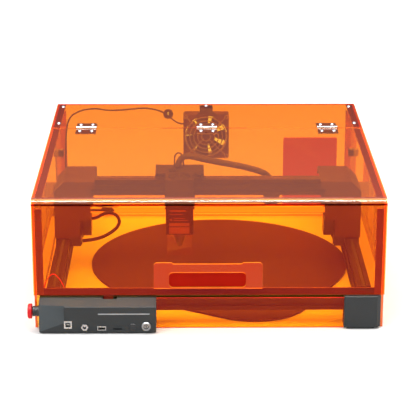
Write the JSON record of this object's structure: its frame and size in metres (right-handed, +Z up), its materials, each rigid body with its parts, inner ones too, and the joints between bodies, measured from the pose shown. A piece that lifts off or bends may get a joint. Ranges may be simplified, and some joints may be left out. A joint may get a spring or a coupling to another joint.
{
  "type": "desktop laser cutter",
  "caption": "Belt-driven diode laser gantry on a rectangular frame under a hinged transparent enclosure with exhaust fan, control box, key switch and stop button.",
  "frame": {"origin": "bottom centre of the whole object, on the table it stands on", "axes": "+X to the user's right along the gantry beam, +Y from the grip to the exhaust fan, +Z up"},
  "size_m": [0.612, 0.65, 0.2364],
  "materials": {
    "enclosure_acrylic": "polished orange laser-safety acrylic",
    "strip_acrylic": "orange angle strips",
    "seal_foam": "soft seal",
    "screw_steel": "zinc-plated",
    "hinge_steel": "bright zinc",
    "black_plastic": "fine-grained moulding",
    "black_aluminium": "black anodised",
    "black_steel": "powder coat",
    "guard_wire": "bright wire",
    "cable_black": "smooth jacket",
    "belt_rubber": "toothed belt",
    "pulley_aluminium": "machined",
    "motor_steel": "black with bare ends",
    "foot_rubber": "matte",
    "circuit_board": "solder mask",
    "socket_metal": "tinned",
    "jack_metal": "nickel",
    "key_metal": "bright",
    "button_metal": "satin",
    "stop_red": "bright red",
    "knob_red": "red anodised",
    "nozzle_aluminium": "dark anodised",
    "shield_amber": "clear amber",
    "board_wood": "plain board"
  },
  "bodies": {
    "base": {"side_panel_left": "enclosure_acrylic", "side_panel_right": "enclosure_acrylic", "rear_panel": "enclosure_acrylic", "rear_roof_strip": "enclosure_acrylic", "low_front_panel": "enclosure_acrylic", "rear_cover_plate": "enclosure_acrylic", "joining_strips": "strip_acrylic", "enclosure_screws": "screw_steel", "panel_blocks": "black_plastic", "hinge_fixed_leaves": "hinge_steel", "hinge_pins": "hinge_steel", "exhaust_fan_frame": "black_plastic", "fan_guard": "guard_wire", "fan_bracket": "black_steel", "cable_clip": "black_plastic", "fan_cable": "cable_black", "rail_left": "black_aluminium", "rail_right": "black_aluminium", "front_rail": "black_aluminium", "rear_tie_bar": "enclosure_acrylic", "rear_corner_blocks": "black_plastic", "front_corner_block": "black_plastic", "rubber_feet": "foot_rubber", "control_box_shell": "black_plastic", "control_box_base": "black_plastic", "control_board": "circuit_board", "usb_sockets": "socket_metal", "power_jack": "jack_metal", "key_switch_housing": "key_metal", "estop_base": "black_plastic", "y_belts": "belt_rubber", "work_board": "board_wood"},
    "lid": {"lid_panel": "enclosure_acrylic", "lid_grip_plate": "enclosure_acrylic", "lid_seal_strips": "seal_foam", "hinge_lid_leaves": "hinge_steel", "lid_screws": "screw_steel"},
    "gantry": {"carriage_left": "black_steel", "carriage_right": "black_steel", "cover_left": "black_plastic", "cover_right": "black_plastic", "drive_motors": "motor_steel", "x_beam": "black_aluminium", "x_belt": "belt_rubber", "carriage_cable": "cable_black", "cable_sleeve": "cable_black"},
    "y_wheels": {"y_drive_wheels": "pulley_aluminium"},
    "x_drive": {"x_drive_pulley": "pulley_aluminium"},
    "x_idler": {"x_idler_pulley": "pulley_aluminium"},
    "x_carriage": {"x_saddle": "black_aluminium", "x_carriage_cover": "black_plastic"},
    "laser": {"laser_housing": "black_aluminium", "laser_nozzle": "nozzle_aluminium", "laser_shield": "shield_amber"},
    "laser_rotor": {"laser_fan_rotor": "black_plastic"},
    "focus": {"focus_knob": "knob_red"},
    "estop": {"estop_head": "stop_red"},
    "key": {"key_barrel": "key_metal"},
    "start": {"start_button": "button_metal"},
    "exhaust_rotor": {"exhaust_fan_rotor": "black_plastic"}
  },
  "joints": [
    {"name": "lid_hinge", "type": "hinge", "parent": "base", "child": "lid", "pos_m": [0.005, 0.147, 0.234], "axis": [-1, 0, 0], "range_deg": [0, 95]},
    {"name": "y_slide", "type": "slide", "parent": "base", "child": "gantry", "axis": [0, 1, 0], "range_m": [-0.19, 0.19]},
    {"name": "x_slide", "type": "slide", "parent": "gantry", "child": "x_carriage", "axis": [1, 0, 0], "range_m": [-0.11, 0.2], "deforming": ["cable_sleeve"]},
    {"name": "laser_height", "type": "slide", "parent": "x_carriage", "child": "laser", "axis": [0, 0, 1], "range_m": [-0.035, 0.025]},
    {"name": "laser_fan_spin", "type": "hinge", "parent": "laser", "child": "laser_rotor", "pos_m": [-0.047, -0.037, 0.183], "axis": [0, 0, 1], "continuous": true},
    {"name": "focus_knob_turn", "type": "hinge", "parent": "laser", "child": "focus", "pos_m": [-0.017, -0.034, 0.14], "axis": [1, 0, 0], "range_deg": [0, 360]},
    {"name": "exhaust_fan_spin", "type": "hinge", "parent": "base", "child": "exhaust_rotor", "pos_m": [0.005, 0.307, 0.1695], "axis": [0, 1, 0], "continuous": true},
    {"name": "y_wheels_turn", "type": "hinge", "parent": "gantry", "child": "y_wheels", "pos_m": [0.005, 0.003, 0.087], "axis": [1, 0, 0], "range_deg": [-600, 600]},
    {"name": "x_drive_turn", "type": "hinge", "parent": "gantry", "child": "x_drive", "pos_m": [-0.217, 0.022, 0.158], "axis": [0, 1, 0], "range_deg": [-1080, 1980]},
    {"name": "x_idler_turn", "type": "hinge", "parent": "gantry", "child": "x_idler", "pos_m": [0.227, 0.022, 0.158], "axis": [0, 1, 0], "range_deg": [-1080, 1980]},
    {"name": "estop_press", "type": "slide", "parent": "base", "child": "estop", "axis": [1, 0, 0], "range_m": [0, 0.003], "stiffness_N_per_m": 900, "springref_m": -0.002},
    {"name": "key_turn", "type": "hinge", "parent": "base", "child": "key", "pos_m": [-0.103, -0.322, 0.014], "axis": [0, 1, 0], "range_deg": [0, 90]},
    {"name": "start_press", "type": "slide", "parent": "base", "child": "start", "axis": [0, 1, 0], "range_m": [0, 0.0012], "stiffness_N_per_m": 900, "springref_m": -0.001}
  ],
  "couplings": [
    {"joint": "y_wheels_turn", "follows": "y_slide", "rad_per_m": -52.36},
    {"joint": "x_drive_turn", "follows": "x_slide", "rad_per_m": 157.08},
    {"joint": "x_idler_turn", "follows": "x_slide", "rad_per_m": 157.08}
  ]
}
